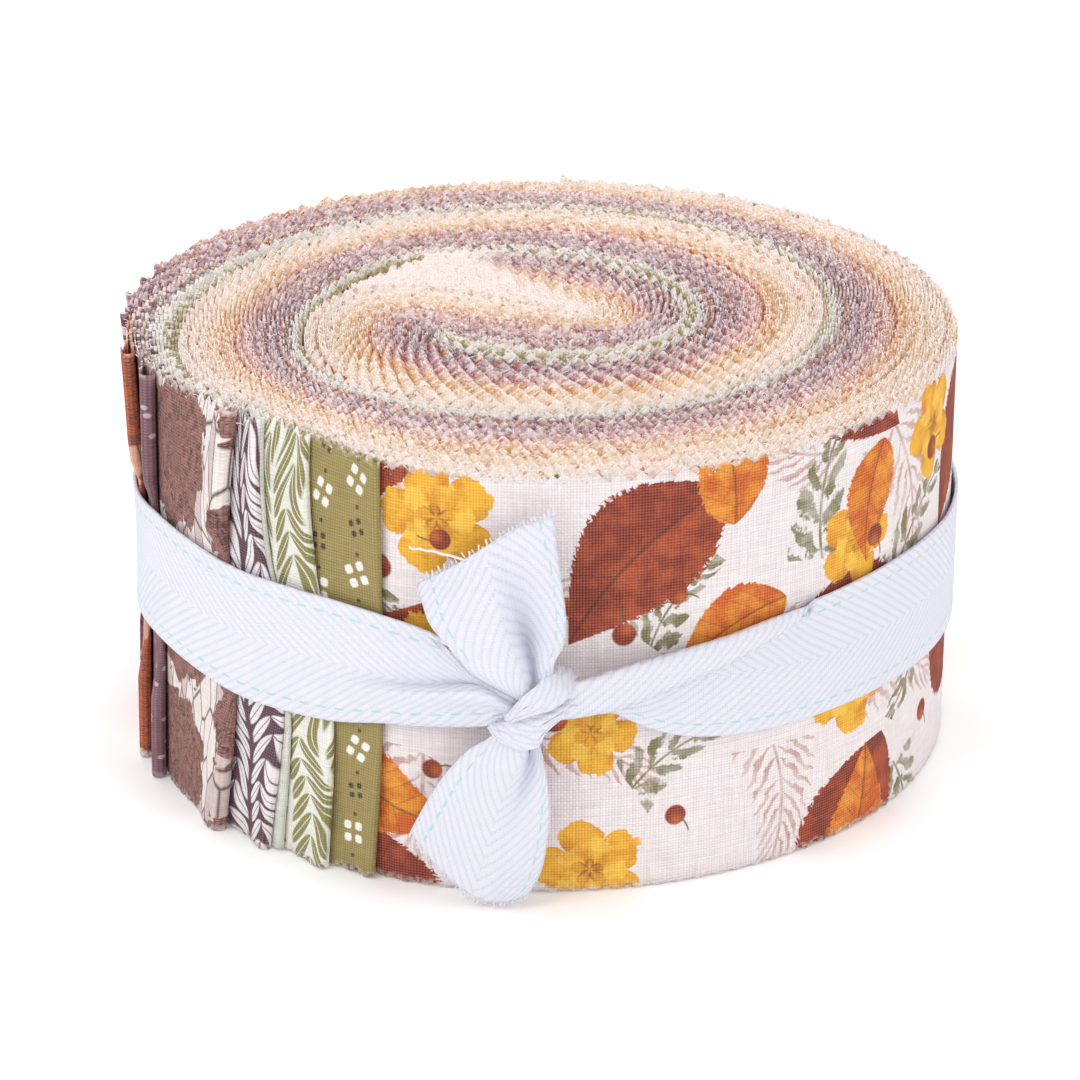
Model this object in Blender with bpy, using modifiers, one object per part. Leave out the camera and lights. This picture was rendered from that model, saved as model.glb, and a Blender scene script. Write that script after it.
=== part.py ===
# A roll of forty doubled cotton strips, stood on its end and tied round with a white twill tape.
# Blender works in metres with +Z up. The roll's axis is the Z axis and it stands on the XY plane.
# Azimuths are degrees from the front (-Y) round to the right (+X), which is also the way the stack winds.

import math

import bmesh
import bpy

mm = 0.001

# Driving sizes, in millimetres and degrees
stripWidth = 63.5  # 2.5 inch strips, standing on edge
stripCount = 40
rimRadius = 61.0
seamGap = 0.36  # the parting between one turn of the stack and the next
turnStep = 6.0  # azimuth from one outline point to the next
tapeThickness = 1.0
tapeClearance = 0.4

# The stack is folded back on itself at its inner end, its green face inside, and then winds outwards.
# This is the green face, from the fold in the core to where it comes out at the rim.
greenFace = [
    # azimuth, radius
    (-59, 15.9),
    (-10, 16.1),
    (37, 18.9),
    (68, 21.1),
    (125, 23.6),
    (180, 27.6),
    (217, 31.4),
    (253, 32.2),
    (279, 35.0),
    (310, 38.2),
    (360, 38.1),
    (436, 40.9),
    (493, 46.1),
    (540, 47.9),
    (610, 49.8),
    (645, 54.2),
    (670, 58.0),
    (700, 60.6),
]
innerEndAzimuth = 247  # the cut ends in the core lie against the next turn up to here

# The slit between the two halves of the folded stack, from its mouth at the left to the core's middle
coreSlit = [
    # x, y
    (-30.0, 10.4),
    (-24.4, 13.4),
    (-17.4, 13.7),
    (-11.4, 11.9),
    (-5.4, 9.0),
    (0.6, 5.5),
    (5.0, 2.0),
    (7.4, -0.2),
]

# Each strip is doubled, and its fold ends on the outside of the roll, one behind the other.
# The six that face front stand proud. The rest follow at even steps round the left and the back.
frontFolds = [
    # azimuth, how far the fold stands out
    (339.2, 0.8),
    (330.5, 0.9),
    (324.0, 0.8),
    (316.5, 1.1),
    (297.0, 1.0),
    (288.5, 0.8),
]
backFoldsEnd = 161  # the outermost strip's fold
backFoldHeight = 0.6
foldRound = 1.6  # degrees over which a fold's back rounds off

# The top of the wall leans in at the front left, above the tape
leanFoot = 44.0
leanInner = 40.0  # layers nearer the axis than this stand upright
wallLean = [
    # azimuth, inward lean of the rim at the top edge
    (262, 0.0),
    (285, 0.8),
    (297, 2.2),
    (310, 5.4),
    (324, 5.6),
    (332, 3.6),
    (340, 1.4),
    (355, 0.0),
]
leanLevels = (leanFoot, 50.5, 57.0)

# The tape, from the knot round the right, the back and the left to the knot again
tapeBand = [
    # azimuth, middle height, half width, inner radius
    (1, 32.3, 1.8, 64.2),
    (8, 32.0, 3.2, 62.4),
    (13, 31.4, 4.6, 61.6),
    (21, 28.9, 6.0, 61.4),
    (36, 29.0, 8.1, 61.4),
    (78, 27.6, 9.4, 61.4),
    (130, 28.0, 9.5, 61.4),
    (156, 28.3, 9.5, 61.6),
    (172, 28.6, 9.5, 62.3),
    (230, 29.0, 9.5, 62.3),
    (290, 31.0, 9.5, 62.5),
    (319, 33.2, 9.3, 62.6),
    (335, 33.4, 7.8, 62.4),
    (347, 33.0, 6.6, 62.2),
    (353, 31.2, 3.8, 63.2),
    (358, 31.2, 2.0, 65.0),
]

# The two free ends fan out from the knot. Each row runs across the tape.
upperTail = [
    # left x, left y, left z, right x, right y, right z
    (-3.2, -66.0, 32.4, 0.6, -66.6, 33.6),
    (-8.4, -64.9, 34.9, 1.0, -67.3, 37.6),
    (-12.4, -63.6, 39.0, 3.0, -66.9, 40.4),
    (-14.7, -62.6, 42.0, 4.0, -66.3, 45.5),
    (-15.7, -62.0, 44.4, 3.0, -65.3, 52.2),
    (-16.5, -61.6, 47.2, 2.3, -64.3, 58.5),
]
lowerTail = [
    # left x, left y, left z, right x, right y, right z
    (-3.8, -66.2, 28.6, 0.4, -66.8, 28.0),
    (-7.0, -65.9, 26.0, 0.7, -66.9, 24.4),
    (-9.9, -65.0, 23.6, 1.0, -66.5, 20.4),
    (-12.9, -64.2, 19.9, 1.3, -66.0, 16.6),
    (-15.4, -63.4, 15.6, 1.2, -65.8, 12.2),
    (-17.6, -62.7, 10.8, 0.4, -65.8, 7.2),
    (-14.2, -63.6, 6.4, -1.4, -65.9, 2.8),
    (-9.4, -65.4, 2.4, -2.4, -66.0, 2.2),
]
tailHollow = 1.6  # how deep the lengthways fold of each tail sinks at the knot

knotCentre = (-0.8, -66.4, 31.2)
knotHalf = (4.4, 4.0, 5.0)
wrapRadius = 3.6  # the turn of tape that crosses the knot on the slant
wrapThickness = 2.1
wrapSlant = -38.0
wrapDepth = 0.68  # the wrap is flattened towards the roll by this factor


def smooth(table, at, column=1):
    # A cubic through the table's rows, which are in order of their first column
    rows = [(row[0], row[column]) for row in table]
    if at <= rows[0][0]:
        return rows[0][1]
    if at >= rows[-1][0]:
        return rows[-1][1]
    after = next(i for i, row in enumerate(rows) if row[0] > at)
    (a, va), (b, vb) = rows[after - 1], rows[after]

    def slope(i):
        low = max(i - 1, 0)
        high = min(i + 1, len(rows) - 1)
        return (rows[high][1] - rows[low][1]) / (rows[high][0] - rows[low][0])

    t = (at - a) / (b - a)
    span = b - a
    start = (2 * t**3 - 3 * t**2 + 1) * va + (t**3 - 2 * t**2 + t) * span * slope(after - 1)
    return start + (-2 * t**3 + 3 * t**2) * vb + (t**3 - t**2) * span * slope(after)


def polar(azimuth, radius):
    angle = math.radians(azimuth)
    return radius * math.sin(angle), -radius * math.cos(angle)


def azimuths(first, last):
    steps = max(1, round(abs(last - first) / turnStep))
    return [first + (last - first) * i / steps for i in range(steps + 1)]


def foldAzimuths():
    # All the strips' folds, from the last green one at the front round to the outermost at the back
    folds = list(frontFolds)
    start = folds[-1][0]
    rest = stripCount - len(folds)
    for i in range(1, rest + 1):
        folds.append((start + (backFoldsEnd - start) * i / rest, backFoldHeight))
    return folds


def slitSide(side):
    # One side of the core's slit, from its mouth to its end
    points = []
    for i, (x, y) in enumerate(coreSlit):
        before = coreSlit[max(i - 1, 0)]
        after = coreSlit[min(i + 1, len(coreSlit) - 1)]
        dx, dy = after[0] - before[0], after[1] - before[1]
        length = math.hypot(dx, dy)
        off = side * seamGap / 2
        points.append((x - dy / length * off, y + dx / length * off))
    return points


def rollOutline():
    # Round the stack's section: its green face inwards, its cut inner end, its cream face outwards, the rim
    half = seamGap / 2
    fold, out = greenFace[0][0], greenFace[-1][0]
    outline = [polar(a, smooth(greenFace, a) + half) for a in azimuths(out, fold)]
    outline += [polar(a, smooth(greenFace, a) - half) for a in azimuths(fold, innerEndAzimuth)]
    outline += slitSide(1) + slitSide(-1)[::-1]
    outline += [polar(a, smooth(greenFace, a) - half) for a in azimuths(innerEndAzimuth + 8, out)]
    seamMouth = out - 720
    outline += [polar(a, rimRadius) for a in azimuths(seamMouth + 1.2, backFoldsEnd - 2)]
    reached = backFoldsEnd - foldRound
    for azimuth, height in foldAzimuths()[::-1]:
        foldStart = azimuth - foldRound
        outline += [polar(a, rimRadius) for a in azimuths(reached, foldStart)[1:-1]]
        outline.append(polar(foldStart, rimRadius + height * 0.75))
        outline.append(polar(azimuth - foldRound / 3, rimRadius + height))
        outline.append(polar(azimuth + foldRound / 5, rimRadius + height * 0.8))
        outline.append(polar(azimuth + foldRound / 4, rimRadius + 0.1))
        reached = azimuth + foldRound / 4
    return outline


def material(name, colour, roughness):
    made = bpy.data.materials.new(name)
    made.use_nodes = True
    shader = made.node_tree.nodes["Principled BSDF"]
    shader.inputs["Base Color"].default_value = (*colour, 1.0)
    shader.inputs["Roughness"].default_value = roughness
    shader.inputs["Metallic"].default_value = 0.0
    made.diffuse_color = (*colour, 1.0)
    return made


def keepMesh(mesh, name, collection):
    made = bpy.data.objects.new(name, mesh)
    collection.objects.link(made)
    return made


def makeRoll(collection):
    curve = bpy.data.curves.new("rollOutline", "CURVE")
    curve.dimensions = "2D"
    curve.fill_mode = "BOTH"
    curve.extrude = stripWidth / 2
    points = rollOutline()
    spline = curve.splines.new("POLY")
    spline.points.add(len(points) - 1)
    for point, (x, y) in zip(spline.points, points):
        point.co = (x, y, 0, 1)
    spline.use_cyclic_u = True
    drawn = bpy.data.objects.new("rollOutline", curve)
    collection.objects.link(drawn)
    bpy.context.view_layer.update()
    mesh = bpy.data.meshes.new_from_object(drawn.evaluated_get(bpy.context.evaluated_depsgraph_get()))
    bpy.data.objects.remove(drawn)

    bm = bmesh.new()
    bm.from_mesh(mesh)
    bmesh.ops.remove_doubles(bm, verts=bm.verts, dist=0.001)
    for vert in bm.verts:
        vert.co.z += stripWidth / 2
    for level in leanLevels:
        everything = bm.verts[:] + bm.edges[:] + bm.faces[:]
        bmesh.ops.bisect_plane(bm, geom=everything, plane_co=(0, 0, level), plane_no=(0, 0, 1))
    for vert in bm.verts:
        leanVertex(vert)
        vert.co *= mm
    bmesh.ops.recalc_face_normals(bm, faces=bm.faces)
    bm.to_mesh(mesh)
    bm.free()
    return keepMesh(mesh, "roll", collection)


def leanVertex(vert):
    # Above the tape the outer layers lean towards the axis, the more the nearer they are to the rim
    x, y, z = vert.co
    radius = math.hypot(x, y)
    if z <= leanFoot or radius <= leanInner:
        return
    azimuth = math.degrees(math.atan2(x, -y)) % 360
    rise = (z - leanFoot) / (stripWidth - leanFoot)
    share = (radius - leanInner) / (rimRadius - leanInner)
    shrink = 1 - smooth(wallLean, azimuth) * rise**1.4 * share / radius
    vert.co.x = x * shrink
    vert.co.y = y * shrink


def makeSheet(name, collection, acrossSteps, alongSteps, place):
    # A grid laid by place(across, along), both 0 to 1, and thickened outwards to the tape's thickness
    bm = bmesh.new()
    bmesh.ops.create_grid(bm, x_segments=alongSteps, y_segments=acrossSteps, size=1)
    for vert in bm.verts:
        along = (vert.co.x + 1) / 2
        across = (vert.co.y + 1) / 2
        vert.co = [value * mm for value in place(across, along)]
    mesh = bpy.data.meshes.new(name)
    bm.to_mesh(mesh)
    bm.free()
    made = keepMesh(mesh, name, collection)
    thicken = made.modifiers.new("thickness", "SOLIDIFY")
    thicken.thickness = tapeThickness * mm
    thicken.offset = 1
    return made


def placeBand(across, along):
    azimuth = tapeBand[0][0] + (tapeBand[-1][0] - tapeBand[0][0]) * along
    middle = smooth(tapeBand, azimuth, 1)
    half = smooth(tapeBand, azimuth, 2)
    radius = smooth(tapeBand, azimuth, 3) + tapeClearance
    x, y = polar(azimuth, radius)
    return x, y, middle + half * (2 * across - 1)


def placeTail(rows, turned):
    # Rows are joined smoothly, with a hollow down the middle that dies out towards the cut end
    numbered = [(i, *row) for i, row in enumerate(rows)]

    def place(across, along):
        at = along * (len(rows) - 1)
        left = [smooth(numbered, at, column) for column in (1, 2, 3)]
        right = [smooth(numbered, at, column) for column in (4, 5, 6)]
        share = 1 - across if turned else across
        x, y, z = (a + (b - a) * share for a, b in zip(left, right))
        hollow = tailHollow * math.sin(math.pi * share) * (1 - along) * min(1.0, along * 4)
        return x, y + hollow, z

    return place


def makeKnot(collection):
    # The pulled knot, and the turn of tape that crosses it on the slant
    bm = bmesh.new()
    bmesh.ops.create_uvsphere(bm, u_segments=20, v_segments=12, radius=1)
    for vert in bm.verts:
        vert.co = [(c + h * v) * mm for c, h, v in zip(knotCentre, knotHalf, vert.co)]
    mesh = bpy.data.meshes.new("knot")
    bm.to_mesh(mesh)
    bm.free()
    knot = keepMesh(mesh, "knotBody", collection)
    bpy.ops.mesh.primitive_torus_add(
        major_segments=24,
        minor_segments=10,
        major_radius=wrapRadius * mm,
        minor_radius=wrapThickness * mm,
        location=[c * mm for c in knotCentre],
        rotation=(0, math.radians(wrapSlant), 0),
    )
    wrap = bpy.context.active_object
    wrap.name = "knotWrap"
    wrap.scale.y = wrapDepth
    for holder in list(wrap.users_collection):
        holder.objects.unlink(wrap)
    collection.objects.link(wrap)
    return knot, wrap


def makeTape(collection, helpers):
    tape = makeSheet("tape", collection, 4, 90, placeBand)
    parts = [
        makeSheet("upperTail", helpers, 8, 12, placeTail(upperTail, True)),
        makeSheet("lowerTail", helpers, 8, 14, placeTail(lowerTail, False)),
        *makeKnot(helpers),
    ]
    for part in parts:
        part.hide_render = True
        part.display_type = "WIRE"
        join = tape.modifiers.new(part.name, "BOOLEAN")
        join.operation = "UNION"
        join.solver = "EXACT"
        join.object = part
    return tape


def main():
    for old in list(bpy.data.objects):
        bpy.data.objects.remove(old)
    pieces = bpy.data.collections.new("fabricStripRoll")
    helpers = bpy.data.collections.new("tapeParts")
    for collection in (pieces, helpers):
        bpy.context.scene.collection.children.link(collection)
    roll = makeRoll(pieces)
    roll.data.materials.append(material("quilting cotton", (0.82, 0.72, 0.62), 0.9))
    tape = makeTape(pieces, helpers)
    tape.data.materials.append(material("cotton twill tape", (0.88, 0.89, 0.92), 0.8))


main()
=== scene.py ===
# Looks of the fabric strip roll: forty doubled cotton strips wound up together and tied with twill tape.
# Shapes are worked out in millimetres and go to metres as each mesh is made.
# Azimuths are degrees from the front (-Y) round to the right (+X), the way the stack winds.
import functools
import math

import bpy
import numpy as np
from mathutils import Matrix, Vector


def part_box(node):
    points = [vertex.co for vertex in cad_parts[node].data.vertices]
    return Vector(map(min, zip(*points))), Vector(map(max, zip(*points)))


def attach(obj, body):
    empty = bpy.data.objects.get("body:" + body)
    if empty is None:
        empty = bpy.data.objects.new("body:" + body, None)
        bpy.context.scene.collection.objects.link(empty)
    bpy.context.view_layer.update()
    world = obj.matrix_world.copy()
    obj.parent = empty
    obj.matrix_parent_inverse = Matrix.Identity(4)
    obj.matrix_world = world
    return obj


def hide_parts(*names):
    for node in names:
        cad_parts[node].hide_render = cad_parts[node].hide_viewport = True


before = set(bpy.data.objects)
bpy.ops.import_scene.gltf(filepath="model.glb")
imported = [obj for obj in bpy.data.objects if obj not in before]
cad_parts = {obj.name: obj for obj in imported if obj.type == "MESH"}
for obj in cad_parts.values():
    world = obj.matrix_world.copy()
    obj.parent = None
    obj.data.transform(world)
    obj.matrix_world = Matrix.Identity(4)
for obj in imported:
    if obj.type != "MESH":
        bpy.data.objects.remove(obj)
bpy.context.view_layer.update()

mm = 0.001
rollLow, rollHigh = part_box("roll")
stripWidth = (rollHigh[2] - rollLow[2]) / mm
rng = np.random.default_rng(40)


def linear(hexColour):
    # sRGB hex to the linear colour that a shader takes
    parts = [int(hexColour[i : i + 2], 16) / 255 for i in (1, 3, 5)]
    return [c / 12.92 if c <= 0.04045 else ((c + 0.055) / 1.055) ** 2.4 for c in parts] + [1.0]


def smooth(table, at, column=1):
    # A cubic through the table's rows, which are in order of their first column
    rows = np.array([(row[0], row[column]) for row in table], float)
    x, y = rows[:, 0], rows[:, 1]
    at = np.asarray(at, float)
    last = len(x) - 1
    i = np.clip(np.searchsorted(x, at, side="right"), 1, last)
    before = np.maximum(np.arange(last + 1) - 1, 0)
    after = np.minimum(np.arange(last + 1) + 1, last)
    slope = (y[after] - y[before]) / (x[after] - x[before])
    span = x[i] - x[i - 1]
    t = np.clip((at - x[i - 1]) / span, 0, 1)
    start = (2 * t**3 - 3 * t**2 + 1) * y[i - 1] + (t**3 - 2 * t**2 + t) * span * slope[i - 1]
    return start + (-2 * t**3 + 3 * t**2) * y[i] + (t**3 - t**2) * span * slope[i]


def polar(azimuth, radius):
    angle = np.radians(azimuth)
    return np.stack([radius * np.sin(angle), -radius * np.cos(angle)], -1)


def ramp(value, low, high):
    # 0 at low, 1 at high and smooth between
    t = np.clip((value - low) / (high - low), 0, 1)
    return t * t * (3 - 2 * t)


# Settings that every node of a kind has here, with its inputs' order and the output it is used for
usualSettings = {
    "Mix": {"data_type": "RGBA", "order": (0, 6, 7), "out": 2},
    "TexNoise": {"noise_dimensions": "2D"},
    "TexWhiteNoise": {"noise_dimensions": "2D"},
    "TexVoronoi": {"voronoi_dimensions": "2D"},
    "VectorRotate": {"rotation_type": "Z_AXIS"},
}


def node(tree, kind, *inputs, **settings):
    # Adds a shader node. kind may name its operation too, as in "Math ADD". Inputs, each a socket to link or
    # a value to set, come in order or by number, as in3. Other settings go by name.
    kind, *operation = kind.split()
    settings = usualSettings.get(kind, {}) | settings
    order = settings.pop("order", range(len(inputs)))
    out = settings.pop("out", 0)
    made = tree.nodes.new("ShaderNode" + kind)
    if operation:
        made.operation = operation[0]
    numbered = dict(zip(order, inputs))
    for key, value in settings.items():
        if key.startswith("in") and key[2:].isdigit():
            numbered[int(key[2:])] = value
        else:
            setattr(made, key, value)
    for number, value in numbered.items():
        if isinstance(value, bpy.types.NodeSocket):
            tree.links.new(value, made.inputs[number])
        else:
            made.inputs[number].default_value = value
    return made.outputs[out]


def startMaterial(name, settings):
    # A material with its Principled shader set up, a way to add nodes to it, and the shader's inputs
    made = bpy.data.materials.new(name)
    made.use_nodes = True
    shader = made.node_tree.nodes["Principled BSDF"].inputs
    for label, value in settings.items():
        shader[label].default_value = value
    return made, functools.partial(node, made.node_tree), shader


# The strips and how they are wound. Lengths are in mm and azimuths in degrees.
stack = {
    "strips": 40,
    "clothThickness": 0.2,
    "frayThickness": 0.45,
    "toothPitch": 3.0,
    "toothHeight": 1.15,
    "phaseAzimuth": 33,
    "phaseJitter": 0.12,
    "topUneven": 0.3,
    "frayed": 0.1,
    "fill": 0.8,  # share of the room between its neighbours that a frayed edge takes
    "startJitter": 2.5,
    "footJitter": 0.12,
    "footNotch": 0.5,
    "innerEnd": 214,
    "firstFold": 700,
    "lastFold": 521,
    "pressedFrom": 558,
    "behindFold": 1.5,  # how far behind its fold a strip's inner layer ends
    "shownUnder": 6.0,  # how far a strip's shown part goes on under the next fold
    "lastShown": 335.0,  # where the outermost strip's shown part starts
    "lastBare": 0.6,  # the outermost print is mostly its cream ground
    "printRun": 560.0,  # cloth coordinates kept for each layer
    "printStart": 37.0,  # how far each strip's print is shifted from the last one's
}

# The stack's green face, from its fold in the core to where it comes out at the rim
greenFace = [
    # azimuth, radius
    (-59, 15.9),
    (-10, 16.1),
    (37, 18.9),
    (68, 21.1),
    (125, 23.6),
    (180, 27.6),
    (217, 31.4),
    (253, 32.2),
    (279, 35.0),
    (310, 38.2),
    (360, 38.1),
    (436, 40.9),
    (493, 46.1),
    (540, 47.9),
    (610, 49.8),
    (645, 54.2),
    (670, 58.0),
    (700, 60.6),
]
rimRadius = [
    # azimuth, radius of the outermost layer
    (320, 60.7),
    (345, 60.9),
    (430, 61.0),
    (521, 61.1),
    (598, 61.4),
    (660, 61.1),
    (700, 61.2),
]

# The cream face inside the core, matched to azimuths of the green face: up one side of the slit from
# the folded stack's neck to the middle, and back along the other side to the cut inner ends
coreCream = [
    # azimuth on the green face, x, y
    (-59, -21.5, 13.2),
    (-38, -17.4, 13.1),
    (-15, -11.4, 11.4),
    (10, -5.4, 8.5),
    (35, 0.6, 5.0),
    (55, 5.0, 1.6),
    (80, 7.3, -0.5),
    (105, 7.4, 0.2),
    (130, 4.6, 3.1),
    (150, -1.2, 7.1),
    (168, -8.5, 11.2),
    (185, -16.6, 14.1),
    (200, -24.0, 14.0),
    (214, -29.8, 11.1),
]
# The cream face as it goes round the neck, from the slit to the left of the fold and on to the front
neckCream = [
    # step, x, y
    (0, -21.5, 13.2),
    (1, -26.2, 12.2),
    (2, -30.5, 8.5),
    (3, -33.3, 1.8),
    (4, -34.2, -6.0),
    (5, -33.7, -13.0),
    (6, -32.1, -19.3),
]

# The folds of the strips that face front, each with its azimuth at the foot, under the tape and at the
# top, and how it stands out
frontFolds = [
    # foot, middle, top, height of the fold, length it rounds over
    (697.5, 699.6, 698.6, 0.6, 1.8),
    (690.5, 692.0, 685.2, 1.15, 2.8),
    (683.0, 685.3, 675.9, 0.6, 1.8),
    (680.7, 684.4, 675.3, 1.3, 3.0),
    (672.5, 676.7, 671.5, 2.1, 5.0),
    (654.8, 657.2, 652.6, 1.5, 3.4),
    (647.8, 648.5, 643.4, 1.3, 3.2),
]
backFold = {"height": 0.45, "rounds": 1.8, "jitter": 1.1, "start": 632.0}

# The top of the wall leans in at the front left, above the tape
wallLean = [
    # azimuth, inward lean of the rim at the top edge
    (262, 0.0),
    (285, 0.8),
    (297, 2.2),
    (310, 5.4),
    (324, 5.6),
    (332, 3.6),
    (340, 1.4),
    (355, 0.0),
]
leanFrom = {"height": 44.0, "radius": 40.0, "rim": 61.0}
# The tape presses the wall in at the left
waistHeight = [
    # height, how far the wall is pressed in
    (0, 0.9),
    (14, 1.3),
    (24, 2.0),
    (34, 2.3),
    (42, 2.1),
    (52, 1.2),
    (63.5, 0.0),
]
waistAzimuth = [
    # azimuth, share of it
    (205, 0.0),
    (250, 0.9),
    (272, 1.0),
    (282, 0.7),
    (297, 0.12),
    (306, 0.0),
]


def foldTable():
    # For each strip, from the green one out: its fold's azimuths, height and rounding
    rows = [list(row) for row in frontFolds]
    start = backFold["start"]
    rest = stack["strips"] - len(rows)
    for i in range(1, rest + 1):
        at = start + (stack["lastFold"] - start) * i / rest
        if i < rest:
            at += rng.uniform(-1, 1) * backFold["jitter"]
        lift = backFold["height"] * rng.uniform(0.5, 1.6)
        rows.append([at, at, at, lift, backFold["rounds"]])
    return rows


folds = foldTable()
foldMiddle = np.array([row[1] for row in folds])


def layersLeft(azimuth):
    # How many layers of cloth have not yet ended, smoothed over each strip
    count = 2 * np.arange(stack["strips"]) + 1.0
    left = np.interp(azimuth, foldMiddle[::-1], count[::-1])
    return np.where(azimuth < stack["lastFold"], 2.0 * stack["strips"], left)


def creamRadius(azimuth):
    # The outer face lies on the next turn's green face, and on the last turn it is the rim
    nextTurn = azimuth + 360
    return np.where(nextTurn < stack["firstFold"], smooth(greenFace, nextTurn), smooth(rimRadius, azimuth))


def layerRadius(layer, azimuth):
    green = smooth(greenFace, azimuth)
    return green + (creamRadius(azimuth) - green) * (layer + 0.5) / layersLeft(azimuth)


def stations():
    # Matching points of the green and the cream face from the inner end out, the azimuths there, and the
    # part that each lies in: 0 in the core, 1 round the neck and 2 outside
    inner = np.linspace(stack["innerEnd"], greenFace[0][0], 300)
    innerGreen = polar(inner, smooth(greenFace, inner))
    innerCream = np.stack([smooth(coreCream, inner, 1), smooth(coreCream, inner, 2)], -1)
    step = np.linspace(0, 6, 90)[1:-1]
    neckGreen = np.repeat(innerGreen[-1:], len(step), 0)
    neck = np.stack([smooth(neckCream, step, 1), smooth(neckCream, step, 2)], -1)
    outer = np.arange(greenFace[0][0], stack["firstFold"] + 1, 0.75)
    outerGreen = polar(outer, smooth(greenFace, outer))
    outerCream = polar(outer, creamRadius(outer))
    green = np.concatenate([innerGreen, neckGreen, outerGreen])
    cream = np.concatenate([innerCream, neck, outerCream])
    winding = np.concatenate([inner, np.full(len(step), inner[-1]), outer])
    part = np.repeat([0, 1, 2], [len(inner), len(step), len(outer)])
    return green, cream, winding, part


greenLine, creamLine, winding, windingPart = stations()


def layerPath(layer):
    # The layer's line from its inner end to its fold: length along it, points, azimuth and part
    left = np.where(windingPart == 2, layersLeft(winding), 2.0 * stack["strips"])
    points = greenLine + (creamLine - greenLine) * ((layer + 0.5) / left)[:, None]
    keep = (windingPart < 2) | (winding <= foldMiddle[layer // 2])
    points, azimuth, part = points[keep], winding[keep], windingPart[keep]
    steps = np.linalg.norm(np.diff(points, axis=0), axis=1)
    along = np.concatenate([[0], np.cumsum(steps)])
    reference = np.interp(stack["phaseAzimuth"], azimuth[part == 2], along[part == 2])
    room = (np.linalg.norm(creamLine - greenLine, axis=1) / left)[keep]
    return along - reference, points, azimuth, part, room


print("stack laid out:", len(winding), "stations")


# Cotton strips
pressedRows = [12.0, 24.0, 34.0, 42.0, 52.0]
shownRows = [2.0, 7.0, 13.0, 20.0, 27.0, 34.0, 40.0, 44.0, 47.0, 50.0, 53.0, 56.0, 59.0, 61.3]
# The layers' top edges go up and down in two waves
edgeWaves = [
    # height, length, shift from strip to strip and from turn to turn
    (0.25, 37.0, 1.7, 1),
    (0.15, 11.0, 3.1, 0),
]
shown = {
    "follow": 22.0,  # how far behind its fold the wall follows the fold's lean
    "pressed": 0.85,  # share of its height that a fold loses under the tape
    "pressedLow": (16, 21),
    "pressedHigh": (44, 48),
    "turns": [26, 51, 77, 103, 129, 154],  # degrees round the fold
    "turnStep": 0.25,
    "backStart": 1.5,
    "backColumns": 6,
}


def leanInwards(points):
    # The outer layers lean towards the axis at the front left and are pressed in at the left
    x, y, z = points[..., 0], points[..., 1], points[..., 2]
    radius = np.maximum(np.hypot(x, y), 1e-6)
    azimuth = np.degrees(np.arctan2(x, -y)) % 360
    rise = np.clip((z - leanFrom["height"]) / (stripWidth - leanFrom["height"]), 0, None)
    share = np.clip((radius - leanFrom["radius"]) / (leanFrom["rim"] - leanFrom["radius"]), 0, 1)
    lean = smooth(wallLean, azimuth) * rise**1.4
    waist = smooth(waistHeight, z) * smooth(waistAzimuth, azimuth)
    shrink = 1 - (lean + waist) * share / radius
    out = points.copy()
    out[..., 0] = x * shrink
    out[..., 1] = y * shrink
    return out


def toothLevel(along, jitter):
    # 0 at a tooth's tip and 1 in the notch between two teeth
    turn = ((along - jitter) / stack["toothPitch"]) % 1.0
    return 1 - np.abs(2 * turn - 1)


def toothColumns(first, last, jitter, parts=1):
    # Places along a layer at every tip and notch, with both ends
    step = stack["toothPitch"] / 2 / parts
    start = math.ceil((first - jitter) / step + 0.2)
    stop = math.floor((last - jitter) / step - 0.2)
    inside = jitter + step * np.arange(start, stop + 1)
    return np.concatenate([[first], inside, [last]])


def band(grid, places, edges, bare, thickness):
    # A closed strip of cloth round a grid of points, with their cloth coordinates, teeth and bareness
    columns, rows = grid.shape[:2]
    normal = np.cross(np.gradient(grid, axis=0), np.gradient(grid, axis=1))
    normal /= np.maximum(np.linalg.norm(normal, axis=-1, keepdims=True), 1e-9)
    verts = np.stack([grid + normal * thickness / 2, grid - normal * thickness / 2]).reshape(-1, 3)
    count = columns * rows
    c = np.arange(columns - 1) * rows
    r = np.arange(rows - 1)
    i = (c[:, None] + r).ravel()
    top = c + rows - 1
    far = (columns - 1) * rows + r
    corners = [
        (i, i + rows, i + rows + 1, i + 1),
        (i + count, i + 1 + count, i + rows + 1 + count, i + rows + count),
        (top, top + rows, top + rows + count, top + count),
        (c + rows, c, c + count, c + rows + count),
        (r, r + 1, r + 1 + count, r + count),
        (far + 1, far, far + count, far + 1 + count),
    ]
    faces = np.concatenate([np.stack(side, -1) for side in corners])
    values = (places.reshape(-1, 2), edges.ravel(), bare.ravel())
    return verts, faces, *(np.concatenate([value, value]) for value in values)


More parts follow.
